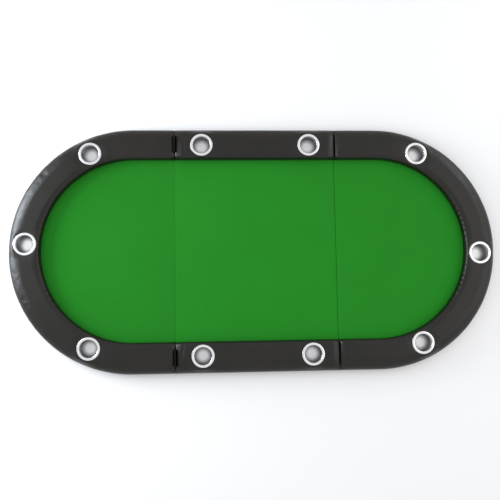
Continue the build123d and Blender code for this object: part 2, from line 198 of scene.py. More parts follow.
vinylLook = {
    "colors": ((0.006, 0.0049, 0.0036), (0.0088, 0.0072, 0.0054)),
    "roughness": (0.28, 0.36),
    "patches": 9,  # paler patches per metre
    "gloss": 0.42,
    "grain": 520,  # pebbles per metre
    "grainDepth": 0.00012,
    "wander": (300, 0.0012),  # of the pebbles' outlines: waves per metre, and how far
    "orangePeel": (45, 0.0005),
}


def makeVinyl():
    look = vinylLook
    material, tree, shader = newMaterial("grained_black_vinyl", look["colors"][0], 0.4)
    shader.inputs["Specular IOR Level"].default_value = look["gloss"]
    points = objectPoints(tree)
    patches = addNoise(tree, points, look["patches"], 3)
    tree.links.new(
        addRamp(tree, patches, [(0.3, look["colors"][0]), (0.7, look["colors"][1])]),
        shader.inputs["Base Color"],
    )
    tree.links.new(addRange(tree, patches, *look["roughness"], 0.3, 0.7), shader.inputs["Roughness"])
    cells = addNode(
        tree, "ShaderNodeTexVoronoi", {"feature": "DISTANCE_TO_EDGE"}, {"Scale": look["grain"]}
    )
    waves, reach = look["wander"]
    wobble = addNode(tree, "ShaderNodeTexNoise", values={"Scale": waves, "Detail": 1})
    tree.links.new(points, wobble.inputs["Vector"])
    warped = addNode(tree, "ShaderNodeVectorMath", {"operation": "MULTIPLY_ADD"})
    tree.links.new(wobble.outputs["Color"], warped.inputs[0])
    warped.inputs[1].default_value = (reach, reach, reach)
    tree.links.new(points, warped.inputs[2])
    tree.links.new(warped.outputs["Vector"], cells.inputs["Vector"])
    pebble = addRange(tree, cells.outputs["Distance"], 0, 1, 0.0, 0.25)
    grain = addBump(tree, shader, pebble, look["grainDepth"], 0.6)
    peel, peelDepth = look["orangePeel"]
    addBump(tree, shader, addNoise(tree, points, peel, 2), peelDepth, 0.35, grain)
    return material


feltLook = {
    "nap": 420,  # tufts per metre
    "napDepth": 0.00018,
    "fibres": 1400,
    "fibreDepth": 0.0001,
    "shares": (0.6, 0.1, 0.3),  # of tufts, broad shade and fibres in the colour
    "darker": 0.86,
    "lighter": 1.14,
    "sheen": 0.05,
}


def makeCloth(name, color):
    look = feltLook
    material, tree, shader = newMaterial(name, color, 0.92)
    points = objectPoints(tree)
    tufts = addNoise(tree, points, look["nap"], 4, 0.65)
    broad = addNoise(tree, points, 4, 2)
    fibres = addNoise(tree, points, look["fibres"], 3, 0.7)
    mixed = 0.0
    for layer, share in zip((tufts, broad, fibres), look["shares"]):
        mixed = addMath(tree, "ADD", addMath(tree, "MULTIPLY", layer, share), mixed)
    darker = tuple(c * look["darker"] for c in color)
    lighter = tuple(c * look["lighter"] for c in color)
    tree.links.new(
        addRamp(tree, mixed, [(0.38, darker), (0.5, color), (0.62, lighter)]),
        shader.inputs["Base Color"],
    )
    shader.inputs["Specular IOR Level"].default_value = 0.12
    shader.inputs["Sheen Weight"].default_value = look["sheen"]
    shader.inputs["Sheen Roughness"].default_value = 0.6
    shader.inputs["Sheen Tint"].default_value = (0.5, 0.9, 0.5, 1)
    nap = addBump(tree, shader, tufts, look["napDepth"], 0.5)
    addBump(tree, shader, fibres, look["fibreDepth"], 0.4, nap)
    return material


def makePlain(name, color, roughness, metallic=0.0, spots=200, spread=0.15, depth=0.00005):
    material, tree, shader = newMaterial(name, color, roughness, metallic)
    points = objectPoints(tree)
    mottled = addNoise(tree, points, spots, 4, 0.6)
    low = tuple(c * (1 - spread) for c in color)
    high = tuple(min(1, c * (1 + spread)) for c in color)
    tree.links.new(addRamp(tree, mottled, [(0.35, low), (0.65, high)]), shader.inputs["Base Color"])
    tree.links.new(
        addRange(tree, mottled, roughness * 0.88, min(1, roughness * 1.12), 0.35, 0.65),
        shader.inputs["Roughness"],
    )
    addBump(tree, shader, mottled, depth, 0.5)
    return material


steelLook = {
    "floor": (0.78, 0.78, 0.785),
    # painted shade: the wall's dark colour stands in for the shade inside the cup
    "wall": (0.17, 0.17, 0.175),
    "flange": (0.94, 0.94, 0.945),
    "radii": (0.0, 0.016, 0.0345, 0.0372, 0.0388, 0.06),  # middle, floor's rim, wall, lip, flange, all
    "insideRoughness": (0.3, 0.46),
    "flangeRoughness": 0.2,
    "rings": 2600,  # turning marks per metre of radius
    "ringDepth": 0.00004,
}


def makeCupSteel():
    # the turning attribute holds the direction round the cup and the radius
    look = steelLook
    material, tree, shader = newMaterial("spun_cup_steel", look["floor"], 0.26, 1.0)
    turning = addNode(tree, "ShaderNodeAttribute", {"attribute_name": "turning"})
    parts = addNode(tree, "ShaderNodeSeparateXYZ")
    tree.links.new(turning.outputs["Vector"], parts.inputs[0])
    middle, rim, wall, lip, flange, most = look["radii"]
    onFlange = addRange(tree, parts.outputs["Z"], 0, 1, lip, flange)
    onRadius = addRange(tree, parts.outputs["Z"], 0, 1, middle, most)
    stretched = addNode(tree, "ShaderNodeVectorMath", {"operation": "MULTIPLY"})
    tree.links.new(turning.outputs["Vector"], stretched.inputs[0])
    stretched.inputs[1].default_value = (1.4, 1.4, look["rings"])
    rings = addNoise(tree, stretched.outputs["Vector"], 1.0, 3.0)
    # painted shade: the base colour runs from the light floor at its rim to the dark wall colour,
    # standing in for the shade that deepens towards the wall
    tree.links.new(
        addRamp(
            tree,
            onRadius,
            [
                (middle / most, look["floor"]),
                (rim / most, look["floor"]),
                (wall / most, look["wall"]),
                (lip / most, look["wall"]),
                (flange / most, look["flange"]),
            ],
        ),
        shader.inputs["Base Color"],
    )
    brushed = addRange(tree, rings, *look["insideRoughness"], 0.3, 0.7)
    fade = addMath(tree, "SUBTRACT", 1.0, onFlange)
    inside = addMath(tree, "MULTIPLY", brushed, fade)
    outside = addMath(tree, "MULTIPLY", onFlange, look["flangeRoughness"])
    tree.links.new(addMath(tree, "ADD", inside, outside), shader.inputs["Roughness"])
    addBump(tree, shader, addMath(tree, "MULTIPLY", rings, fade), look["ringDepth"], 0.35)
    return material


vinyl = makeVinyl()
clothLooks = {
    # painted shade: the left panel's green is darker than the middle and right ones, offsetting the
    # stronger window light on the left
    "left": makeCloth("green_cloth_left", (0.0133, 0.204, 0.013)),
    "middle": makeCloth("green_cloth_middle", (0.0146, 0.222, 0.0142)),
    "right": makeCloth("green_cloth_right", (0.0146, 0.222, 0.0142)),
}
fibreboard = makePlain("sanded_fibreboard", (0.36, 0.25, 0.16), 0.75, 0, 900, 0.2, 0.00008)
underlayFoam = makePlain("underlay_foam", (0.05, 0.05, 0.052), 0.9, 0, 1500, 0.35, 0.0002)
cupSteel = makeCupSteel()
blackSteel = makePlain("satin_black_steel", (0.006, 0.006, 0.006), 0.6, 0, 500, 0.2, 0.00003)
blackSteel.node_tree.nodes["Principled BSDF"].inputs["Specular IOR Level"].default_value = 0.1
zincSteel = makePlain("zinc_plated_steel", (0.62, 0.62, 0.6), 0.32, 1, 350, 0.12, 0.00002)
footRubber = makePlain("moulded_foot_rubber", (0.02, 0.02, 0.02), 0.7, 0, 1200, 0.3, 0.0001)
print("materials made")


# padded rails, lengths in metres
railPad = {
    "outerRound": 0.036,
    "innerRound": 0.014,
    "outerFall": 0.0095,  # how far the crown falls to its two edges
    "innerFall": 0.0025,
    "dome": 0.0021,
    "bulge": 0.0012,  # foam standing out past the board's edge
    "sectionStep": 0.008,
    "stationStep": 0.009,
    "hemWidth": 0.026,
    "upRoll": (0.036, 0.013),  # length and drop of the rolled ends at the joint that folds up
    "underRoll": (0.032, 0.017),
    "rollPower": 1.6,
    "cornerPull": 0.007,
    "pullHeights": (0.008, 0.03),  # above the board, where the corner pull sets in and is whole
    "overCore": 0.0008,  # least height of the vinyl over a rail's core
    "endGap": 0.0019,  # over the hinge leaves, to the joint's plane
    "closeGap": 0.0006,  # and beside them
    "closeReach": 0.014,  # along the rail, within which the vinyl closes the gap
    "leafClear": (0.0015, 0.006),  # beside a leaf, where closing sets in and is whole
    "cupSeat": 0.0003,  # vinyl under the cup flanges
    "seatReach": (0.054, 0.079),
    "seatOuter": (0.006, 0.023),  # from the outer edge, where a seat sets in and is whole
    "seatInner": (0.001, 0.0085),  # and from the inner edge
    "holeRadius": 0.0393,
    "holeSteps": 64,
    "held": (0.004, 0.002, 0.03),  # base above the cloth, then held and free heights over it
    "heldRound": 0.004,  # vinyl held this far past a cup's seat
    "heldRoll": 0.5,  # and on this share of a rolled end
    "pressure": 4,
    "frames": 20,
    "mostSwell": 0.003,
    "crownLimit": 0.0014,  # above the flat crown, so that the folded rails clear each other
    "foamHeights": (0.003, 0.016),  # above the board, where waves and creases set in and are whole
    "waves": ((14, 0.0005), (38, 0.00022)),  # per metre, and height
    "gathers": (0.024, 0.0009),  # pitch and height round the inside of a curved rail
    "gatherAcross": (0.098, 0.13),  # where they set in and are whole
    "gatherBand": (0.014, 0.008, 0.026),  # middle's depth below the crown, whole and faded within
}


def roundedPath(corners, step, closed=True):
    points = []
    count = len(corners)
    for index, (across, up, radius) in enumerate(corners):
        here = Vector((across, up))
        if radius <= 0 or (not closed and index in (0, count - 1)):
            points.append(here)
            continue
        before = (Vector(corners[index - 1][:2]) - here).normalized()
        after = (Vector(corners[(index + 1) % count][:2]) - here).normalized()
        half = before.angle(after) / 2
        reach = radius / tan(half)
        centre = here + (before + after).normalized() * (radius / sin(half))
        turn = pi - 2 * half
        pieces = max(3, ceil(radius * turn / step))
        first = here + before * reach - centre
        last = here + after * reach - centre
        for part in range(pieces + 1):
            share = part / pieces
            mixed = first * sin((1 - share) * turn) + last * sin(share * turn)
            points.append(centre + mixed / sin(turn))
    dense = []
    for index in range(len(points) if closed else len(points) - 1):
        point, following = points[index], points[(index + 1) % len(points)]
        pieces = max(1, round((following - point).length / step))
        dense += [point.lerp(following, part / pieces) for part in range(pieces)]
    return dense if closed else dense + [points[-1]]


def smoothStep(low, high, value):
    share = min(1, max(0, (value - low) / (high - low)))
    return share * share * (3 - 2 * share)


def railSection():
    p = railPad
    inner = railWidth + 0.0004
    face = 0.0002  # the vinyl's outer face beside the board, in from the table's outline
    back = 0.0014  # and its back, beside the board's edge
    return roundedPath(
        [
            (p["hemWidth"], hemBottom + 0.0002, 0.0004),
            (face, hemBottom, 0.0022),
            (face, boardTop - 0.001, 0.003),
            (-p["bulge"], boardTop + 0.004, 0.002),
            (-p["bulge"], crown - p["outerFall"], p["outerRound"]),
            (railWidth / 2, crown + p["dome"], 0.3),
            (inner, crown - p["innerFall"], p["innerRound"]),
            (inner, clothTop + hairGap, 0.0016),
            (clothInset + 0.001, clothTop + hairGap, 0),
            (clothInset - 0.0004, boardTop + hairGap, 0),
            (back, boardTop + hairGap, 0),
            (back, boardBottom - hairGap, 0),
            (p["hemWidth"], boardBottom - hairGap, 0.0003),
        ],
        p["sectionStep"],
    )


def straightRun(fromX, toX, fromRoll, toRoll):
    # stations crowd together on a rolled end, so that the roll stays round
    way = 1 if toX > fromX else -1
    length = abs(toX - fromX)
    crowd = [1 - cos(pi / 2 * part / 9) for part in range(9)]
    near = [fromRoll[0] * share for share in crowd] if fromRoll else []
    far = [length - toRoll[0] * share for share in crowd] if toRoll else []
    low, high = len(near) and fromRoll[0], length - (len(far) and toRoll[0])
    pieces = max(1, round((high - low) / railPad["stationStep"]))
    middle = [low + (high - low) * part / pieces for part in range(pieces + 1)]
    return [fromX + way * distance for distance in near + middle + far[::-1]]


def middleStations(side):
    low, high = upJointX + railPad["endGap"], underJointX - railPad["endGap"]
    rolls = railPad["upRoll"], railPad["underRoll"]
    return [
        (x, 0, side, (x - low, rolls[0]) if x - low < high - x else (high - x, rolls[1]))
        for x in straightRun(low, high, *rolls)
    ]


def endStations(way):
    # way is -1 for the left rail and 1 for the right one
    jointX = upJointX if way < 0 else underJointX
    roll = railPad["upRoll"] if way < 0 else railPad["underRoll"]
    faceX = jointX + way * railPad["endGap"]
    run = straightRun(faceX, way * endCentre, roll, None)
    ends = [(abs(x - faceX), roll) for x in run]
    outward = [(x, 0, -way, end) for x, end in zip(run, ends)]
    pieces = round(pi * (endRadius - railPad["outerRound"]) / railPad["stationStep"])
    far = (roll[0] + 1, roll)
    curve = []
    for part in range(1, pieces):
        angle = -way * (pi / 2 - pi * part / pieces)
        curve.append((way * endCentre, way * cos(angle), sin(angle), far))
    back = [(x, 0, way, end) for x, end in zip(run[::-1], ends[::-1])]
    return outward + curve + back


def nearestCup(x, y):
    return min(sqrt((x - c.x) ** 2 + (y - c.y) ** 2) for c in cupCentres.values())


def closing(x, y, distance):
    # the vinyl closes the gap at a joint, but not in front of a rail hinge's leaf
    share = 1 - smoothStep(0, railPad["closeReach"], distance)
    if share == 0:
        return 0
    jointX = min((upJointX, underJointX), key=lambda place: abs(place - x))
    if jointX == upJointX:
        beside = max(leafLow - abs(y), abs(y) - leafHigh)
        share *= smoothStep(*railPad["leafClear"], beside)
    reach = railPad["endGap"] - railPad["closeGap"]
    return reach * share * (1 if jointX > x else -1)


def railPoint(across, up, station):
    centreX, normalX, normalY, (distance, roll) = station
    p = railPad
    above = up - boardTop
    length, drop = roll
    if above > 0.001 and distance < length:
        power = p["rollPower"]
        round01 = 1 - max(0, 1 - (1 - distance / length) ** power) ** (1 / power)
        lowest = min(above, coreTop + p["overCore"] - boardTop)
        above = max(above * (1 - round01 * drop / (crown - boardTop)), lowest)
        middle = railWidth / 2
        pull = p["cornerPull"] * round01 * smoothStep(*p["pullHeights"], above)
        across = middle + (across - middle) * (1 - pull / middle)
        up = boardTop + above
    x = centreX + normalX * (endRadius - across)
    y = normalY * (endRadius - across)
    x += closing(x, y, distance)
    if up > crown - 0.02:
        # the crown comes up to a cup's flange, its two shoulders stay down
        seat = 1 - smoothStep(*p["seatReach"], nearestCup(x, y))
        seat *= smoothStep(*p["seatOuter"], across) * smoothStep(*p["seatInner"], railWidth - across)
        up += (crown - p["cupSeat"] - up) * seat
    return Vector((x, y, up))


def railShell(name, stations):
    section = railSection()
    rows = len(section)
    vertices = [railPoint(point.x, point.y, station) for station in stations for point in section]
    faces = []
    for ring in range(len(stations) - 1):
        for row in range(rows):
            here, above = ring * rows + row, ring * rows + (row + 1) % rows
            faces.append((here, above, above + rows, here + rows))
    first = list(range(rows))
    last = [(len(stations) - 1) * rows + row for row in range(rows)]
    piece = makeObject(name, vertices, faces)
    work = bmesh.new()
    work.from_mesh(piece.data)
    work.verts.ensure_lookup_table()
    caps = [work.faces.new([work.verts[i] for i in loop]) for loop in (first, last[::-1])]
    bmesh.ops.triangulate(work, faces=caps)
    bmesh.ops.recalc_face_normals(work, faces=work.faces)
    work.to_mesh(piece.data)
    work.free()
    held = piece.vertex_groups.new(name="held")
    base, heldTo, freeFrom = railPad["held"]
    for ring, station in enumerate(stations):
        distance, roll = station[3]
        for row, point in enumerate(section):
            index = ring * rows + row
            spot = vertices[index]
            firm = 1 - smoothStep(heldTo, freeFrom, spot.z - clothTop - base)
            if nearestCup(spot.x, spot.y) < railPad["seatReach"][0] + railPad["heldRound"]:
                firm = 1
            if distance < roll[0] * railPad["heldRoll"]:
                firm = 1
            held.add([index], firm, "REPLACE")
    return piece


def swellFoam(shells):
    shapes = {shell: [v.co.copy() for v in shell.data.vertices] for shell in shells}
    for shell in shells:
        cloth = shell.modifiers.new("swell", "CLOTH")
        cloth.settings.quality = 5
        cloth.settings.mass = 0.3
        cloth.settings.tension_stiffness = 25
        cloth.settings.compression_stiffness = 25
        cloth.settings.bending_stiffness = 0.6
        cloth.settings.use_pressure = True
        cloth.settings.uniform_pressure_force = railPad["pressure"]
        cloth.settings.vertex_group_mass = "held"
        cloth.settings.effector_weights.gravity = 0
        cloth.collision_settings.use_collision = False
        cloth.point_cache.frame_start = 1
        cloth.point_cache.frame_end = railPad["frames"]
    for step in range(1, railPad["frames"] + 1):
        bpy.context.scene.frame_set(step)
    for shell in shells:
        bakeModifiers(shell)
        for vertex, start in zip(shell.data.vertices, shapes[shell]):
            moved = vertex.co - start
            if moved.length > railPad["mostSwell"]:
                moved *= railPad["mostSwell"] / moved.length
            vertex.co = start + moved
    bpy.context.scene.frame_set(1)


# creases in the vinyl: both ends in plan, depth and width, all in metres
creases = [
    {"ends": ((-0.502, -0.418), (-0.494, -0.487)), "depth": 0.0012, "width": 0.006},
    {"ends": ((-0.522, -0.43), (-0.515, -0.472)), "depth": 0.0009, "width": 0.004},
    {"ends": ((-0.318, -0.408), (-0.33, -0.478)), "depth": 0.0018, "width": 0.006},
    {"ends": ((-0.299, -0.43), (-0.306, -0.5)), "depth": 0.0012, "width": 0.005},
    {"ends": ((-0.95, 0.352), (-0.91, 0.32)), "depth": 0.0005, "width": 0.011},
    {"ends": ((-0.31, 0.415), (-0.318, 0.49)), "depth": 0.0013, "width": 0.006},
    {"ends": ((0.392, 0.41), (0.385, 0.49)), "depth": 0.0012, "width": 0.005},
    {"ends": ((0.41, -0.5), (0.4, -0.42)), "depth": 0.0012, "width": 0.005},
    {"ends": ((0.93, 0.3), (0.878, 0.352)), "depth": 0.0007, "width": 0.011},
    {"ends": ((0.905, -0.35), (0.95, -0.31)), "depth": 0.0007, "width": 0.01},
]


def creaseDepth(spot):
    total = 0
    for crease in creases:
        start, finish = (Vector(end) for end in crease["ends"])
        along = finish - start
        share = min(1, max(0, (spot.xy - start).dot(along) / along.length_squared))
        width = crease["width"]
        apart = (spot.xy - start - along * share).length
        if apart > 5 * width:
            continue
        bend = noise.noise(spot * 90) * 0.6 * width
        across = (apart + bend) / width
        taper = 0.35 + 0.65 * sin(pi * share)
        valley = 1.25 * 2.718 ** (-across * across)
        ridge = 0.5 * 2.718 ** (-((across - 2) ** 2))  # raised beside it
        total += crease["depth"] * taper * (valley - ridge)
    return total


def gatherHeight(spot, across, angle):
    # gathers run across the inside shoulder of a curved rail
    pitch, height = railPad["gathers"]
    turn = angle * (endRadius - railWidth) / pitch
    drift = noise.noise(Vector((angle * 5, spot.z * 10, 3.1))) * 3
    strength = 0.35 + 0.65 * abs(noise.noise(Vector((angle * 2.3, 1.7, 0))) * 1.8)
    inside = smoothStep(*railPad["gatherAcross"], across)
    middle, whole, faded = railPad["gatherBand"]
    fade = 1 - smoothStep(whole, faded, abs(spot.z - crown + middle))
    return height * strength * sin(2 * pi * turn + drift) * inside * fade


def finishRail(shell, cups):
    smoother = shell.modifiers.new("fine", "SUBSURF")
    smoother.levels = smoother.render_levels = 1
    bakeModifiers(shell)
    mesh = shell.data
    normals = [vertex.normal.copy() for vertex in mesh.vertices]
    foamLow, foamHigh = (boardTop + height for height in railPad["foamHeights"])
    for vertex, normal in zip(mesh.vertices, normals):
        spot = vertex.co
        if spot.z < boardTop + 0.002:
            continue
        beyond = max(0, abs(spot.x) - endCentre)
        across = endRadius - sqrt(beyond * beyond + spot.y * spot.y)
        clearOfCup = smoothStep(*railPad["seatReach"], nearestCup(spot.x, spot.y))
        onFoam = smoothStep(foamLow, foamHigh, spot.z) * clearOfCup
        lift = sum(height * noise.noise(spot * scale) for scale, height in railPad["waves"])
        if beyond > 0:
            angle = atan2(spot.y, beyond)
            lift += gatherHeight(spot, across, angle) * smoothStep(0, 0.1, beyond)
        lift -= creaseDepth(spot)
        vertex.co = spot + normal * lift * onFoam
        vertex.co.z = min(vertex.co.z, crown + railPad["crownLimit"])
    for spot in cups:
        cutter = cupCutter(spot)
        cut = shell.modifiers.new("cup", "BOOLEAN")
        cut.operation = "DIFFERENCE"
        cut.solver = "MANIFOLD"
        cut.object = cutter
        bakeModifiers(shell)
        bpy.data.objects.remove(cutter)
    smoothBy(shell, 50)


def cupCutter(spot):
    # a plug that reaches past the rail above and below
    steps, radius = railPad["holeSteps"], railPad["holeRadius"]
    low, high = boardTop - 0.004, crown + 0.03
    angles = [2 * pi * i / steps for i in range(steps)]
    ring = [(spot.x + radius * cos(angle), spot.y + radius * sin(angle)) for angle in angles]
    vertices = [(x, y, low) for x, y in ring] + [(x, y, high) for x, y in ring]
    faces = [(i, (i + 1) % steps, steps + (i + 1) % steps, steps + i) for i in range(steps)]
    faces += [tuple(range(steps))[::-1], tuple(range(steps, 2 * steps))]
    return makeObject("cutter", vertices, faces)


railShells = {
    "left": railShell("left_padded_rail", endStations(-1)),
    "middle_front": railShell("middle_front_padded_rail", middleStations(-1)),
    "middle_back": railShell("middle_back_padded_rail", middleStations(1)),
    "right": railShell("right_padded_rail", endStations(1)),
}
print("rail shells swept")
swellFoam(list(railShells.values()))
print("foam swelled under the vinyl")
for railName, shell in railShells.items():
    finishRail(shell, [spot for n, spot in cupCentres.items() if n.startswith(railName + "_")])
    dress(shell, vinyl)
    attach(shell, railName.split("_")[0])
    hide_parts(railName + "_rail_cover", railName + "_rail_padding")
print("padded rails finished")


# playing cloth, drawn tight over the foam underlay and turned down at the joints
clothSheet = {
    "thick": 0.0009,
    "pitch": 0.011,
    "upEdge": (0.0001, 0.0008, 0.0002),  # gap to the joint's plane, round and depth of the turned edge
    "underEdge": (0.0003, 0.0034, 0.013),
    "edgeSteps": 6,
    "ripple": 0.00012,
}


def clothColumns(panel):
    # X and drop of each column, from the low X end to the high X end
    reach = tableHalf - clothInset
    edges = {
        "left": (None, (upJointX, -1, *clothSheet["upEdge"])),
        "middle": ((upJointX, 1, *clothSheet["upEdge"]), (underJointX, -1, *clothSheet["underEdge"])),
        "right": ((underJointX, 1, *clothSheet["underEdge"]), None),
    }[panel]
    runs = []
    for side, edge in zip((-1, 1), edges):
        if edge is None:
            runs.append((side * reach, []))
            continue
        jointX, way, gap, bend, below = edge
        faceX = jointX + way * gap
        depth = clothTop - boardTop - 0.0004 + below
        turned = [(faceX, depth), (faceX, (depth + bend) / 2)]
        for part in range(clothSheet["edgeSteps"] + 1):
            angle = pi / 2 * (1 - part / clothSheet["edgeSteps"])
            turned.append((faceX + way * bend * (1 - sin(angle)), bend * (1 - cos(angle))))
        runs.append((faceX + way * bend, turned))
    (lowX, lowEdge), (highX, highEdge) = runs
    pieces = round((highX - lowX) / clothSheet["pitch"])
    flat = [(lowX + (highX - lowX) * part / pieces, 0) for part in range(1, pieces)]
    lowEdge = lowEdge or [(lowX + 0.0001, 0)]
    highEdge = highEdge or [(highX - 0.0001, 0)]
    return lowEdge + flat + highEdge[::-1]


def halfWidth(x, inset):
    beyond = max(0, abs(x) - endCentre)
    return sqrt(max(0.000001, (endRadius - inset) ** 2 - beyond**2))


def clothPanel(panel):
    columns = clothColumns(panel)
    rows = round(2 * (endRadius - clothInset) / clothSheet["pitch"])
    vertices = []
    for x, drop in columns:
        for row in range(rows + 1):
            y = halfWidth(x, clothInset) * (2 * row / rows - 1)
            ripple = clothSheet["ripple"] * noise.noise(Vector((x * 11, y * 11, 0.3)))
            vertices.append((x, y, clothTop - drop + min(0, ripple)))
    faces = []
    for column in range(len(columns) - 1):
        for row in range(rows):
            here = column * (rows + 1) + row
            after = here + rows + 1
            faces.append((here, after, after + 1, here + 1))
    sheet = makeObject(panel + "_cloth_sheet", vertices, faces)
    wall = sheet.modifiers.new("thickness", "SOLIDIFY")
    wall.thickness = clothSheet["thick"]
    wall.offset = -1
    bakeModifiers(sheet)
    smoothBy(sheet, 50)
    return sheet, columns


underlaySlabs = {
    "pitch": 0.02,
    "rows": 30,
    "inset": 0.0016,  # at a joint
    "sideInset": 0.0003,
    "underCloth": 0.0002,
    "edge": 0.0006,
}


def underlaySlab(panel):
    p = underlaySlabs
    inset, rows = p["inset"], p["rows"]
    low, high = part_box(panel + "_underlay")
    lowX = low.x + (inset if panel != "left" else 0.0001)
    highX = high.x - (inset if panel != "right" else 0.0001)
    top, bottom = clothTop - clothSheet["thick"] - p["underCloth"], boardTop + hairGap
    pieces = round((highX - lowX) / p["pitch"])
    vertices = []
    for level in (bottom, top):
        for column in range(pieces + 1):
            x = lowX + (highX - lowX) * column / pieces
            half = halfWidth(x, clothInset + p["sideInset"])
            vertices += [(x, half * (2 * row / rows - 1), level) for row in range(rows + 1)]
    layer = (pieces + 1) * (rows + 1)
    faces = []
    for c in range(pieces):
        for r in range(rows):
            a, b = c * (rows + 1) + r, (c + 1) * (rows + 1) + r
            faces.append((a + layer, b + layer, b + 1 + layer, a + 1 + layer))
            faces.append((a, a + 1, b + 1, b))
    rim = list(range(rows + 1))
    rim += [c * (rows + 1) + rows for c in range(1, pieces + 1)]
    rim += [pieces * (rows + 1) + r for r in range(rows - 1, -1, -1)]
    rim += [c * (rows + 1) for c in range(pieces - 1, 0, -1)]
    for index, here in enumerate(rim):
        after = rim[(index + 1) % len(rim)]
        faces.append((here, after, after + layer, here + layer))
    slab = makeObject(panel + "_foam_underlay", vertices, faces)
    outwardFaces(slab)
    edge = slab.modifiers.new("edge", "BEVEL")
    edge.width = p["edge"]
    edge.segments = 2
    edge.limit_method = "ANGLE"
    bakeModifiers(slab)
    smoothBy(slab, 40)
    return slab


for panel in panels:
    sheet, columns = clothPanel(panel)
    dress(sheet, clothLooks[panel])
    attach(sheet, panel)
    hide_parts(panel + "_playing_cloth")
    foam = underlaySlab(panel)
    dress(foam, underlayFoam)
    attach(foam, panel)
    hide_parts(panel + "_underlay")
print("cloth laid over its underlay")


# Geometry Nodes trees: one turns an outline round an axis, the other sets copies at places
def newTree(name, inputs):
    tree = bpy.data.node_groups.new(name, "GeometryNodeTree")
    tree.interface.new_socket("Geometry", in_out="OUTPUT", socket_type="NodeSocketGeometry")
    for label, kind in inputs.items():
        tree.interface.new_socket(label, in_out="INPUT", socket_type="NodeSocket" + kind)
    return tree, tree.nodes.new("NodeGroupInput"), tree.nodes.new("NodeGroupOutput")


def linked(tree, kind, links=None, settings=None, values=None):
    node = addNode(tree, kind, settings, values)
    for key, source in (links or {}).items():
        tree.links.new(source, node.inputs[key])
    return node


def finishTree(tree, last, given, result):
    real = linked(tree, "GeometryNodeRealizeInstances", {"Geometry": last.outputs[0]})
    finish = linked(
        tree,
        "GeometryNodeSetMaterial",
        {"Geometry": real.outputs[0], "Material": given.outputs["Material"]},
    )
    tree.links.new(finish.outputs[0], result.inputs[0])


def makeLatheTree():
    inputs = {"Outline": "Object", "Points": "Int", "Steps": "Int", "Material": "Material"}
    tree, given, result = newTree("turned_piece", inputs)
    points, steps = given.outputs["Points"], given.outputs["Steps"]
    outline = linked(tree, "GeometryNodeObjectInfo", {"Object": given.outputs["Outline"]})
    columns = addMath(tree, "ADD", steps, 1.0)
    grid = linked(tree, "GeometryNodeMeshGrid", {"Vertices X": columns, "Vertices Y": points})
    index = tree.nodes.new("GeometryNodeInputIndex").outputs[0]
    row = addMath(tree, "MODULO", index, points)
    middle = addMath(tree, "ADD", index, 0.5)
    column = addMath(tree, "FLOOR", addMath(tree, "DIVIDE", middle, points))
    spot = linked(
        tree,
        "GeometryNodeSampleIndex",
        {
            "Geometry": outline.outputs["Geometry"],
            "Value": tree.nodes.new("GeometryNodeInputPosition").outputs[0],
            "Index": row,
        },
        {"data_type": "FLOAT_VECTOR", "domain": "POINT"},
    )
    parts = linked(tree, "ShaderNodeSeparateXYZ", {0: spot.outputs[0]})
    angle = addMath(tree, "MULTIPLY", addMath(tree, "DIVIDE", column, steps), 2 * pi)
    cosine, sine = addMath(tree, "COSINE", angle), addMath(tree, "SINE", angle)
    place = linked(
        tree,
        "ShaderNodeCombineXYZ",
        {
            "X": addMath(tree, "MULTIPLY", cosine, parts.outputs["X"]),
            "Y": addMath(tree, "MULTIPLY", sine, parts.outputs["X"]),
            "Z": parts.outputs["Z"],
        },
    )
    turning = linked(
        tree, "ShaderNodeCombineXYZ", {"X": cosine, "Y": sine, "Z": parts.outputs["X"]}
    )
    moved = linked(
        tree,
        "GeometryNodeSetPosition",
        {"Geometry": grid.outputs["Mesh"], "Position": place.outputs[0]},
    )
    marked = linked(
        tree,
        "GeometryNodeStoreNamedAttribute",
        {"Geometry": moved.outputs[0], "Value": turning.outputs[0]},
        {"data_type": "FLOAT_VECTOR", "domain": "POINT"},
        {"Name": "turning"},
    )
    joined = linked(
        tree,
        "GeometryNodeMergeByDistance",
        {"Geometry": marked.outputs[0]},
        None,
        {"Distance": 1e-6},
    )
    finishTree(tree, joined, given, result)
    return tree


def makeCopyTree():
    inputs = {
        "Places": "Object",
        "Part": "Object",
        "Turn Spread": "Float",
        "Seed": "Int",
        "Material": "Material",
    }
    tree, given, result = newTree("copies_at_places", inputs)
    places = linked(tree, "GeometryNodeObjectInfo", {"Object": given.outputs["Places"]})
    part = linked(tree, "GeometryNodeObjectInfo", {"Object": given.outputs["Part"]})
    points = linked(tree, "GeometryNodeMeshToPoints", {"Mesh": places.outputs["Geometry"]})
    asFloat = {"data_type": "FLOAT"}
    turn = linked(tree, "GeometryNodeInputNamedAttribute", None, asFloat, {"Name": "turn"})
    wander = linked(tree, "FunctionNodeRandomValue", {"Seed": given.outputs["Seed"]}, asFloat)
    wander.inputs[2].default_value = -1.0
    wander.inputs[3].default_value = 1.0
    spread = addMath(tree, "MULTIPLY", wander.outputs[1], given.outputs["Turn Spread"])
    whole = linked(tree, "ShaderNodeCombineXYZ", {"Z": addMath(tree, "ADD", turn.outputs[0], spread)})
    facing = linked(tree, "FunctionNodeEulerToRotation", {0: whole.outputs[0]})
    copies = linked(
        tree,
        "GeometryNodeInstanceOnPoints",
        {
            "Points": points.outputs[0],
            "Instance": part.outputs["Geometry"],
            "Rotation": facing.outputs[0],
        },
    )
    finishTree(tree, copies, given, result)
    return tree


def grow(name, tree, values):
    piece = makeObject(name, [], [])
    maker = piece.modifiers.new("maker", "NODES")
    maker.node_group = tree
    sockets = {s.name: s.identifier for s in tree.interface.items_tree if s.in_out == "INPUT"}
    for label, value in values.items():
        maker[sockets[label]] = value
    return bakeModifiers(piece)


latheTree, copyTree = makeLatheTree(), makeCopyTree()


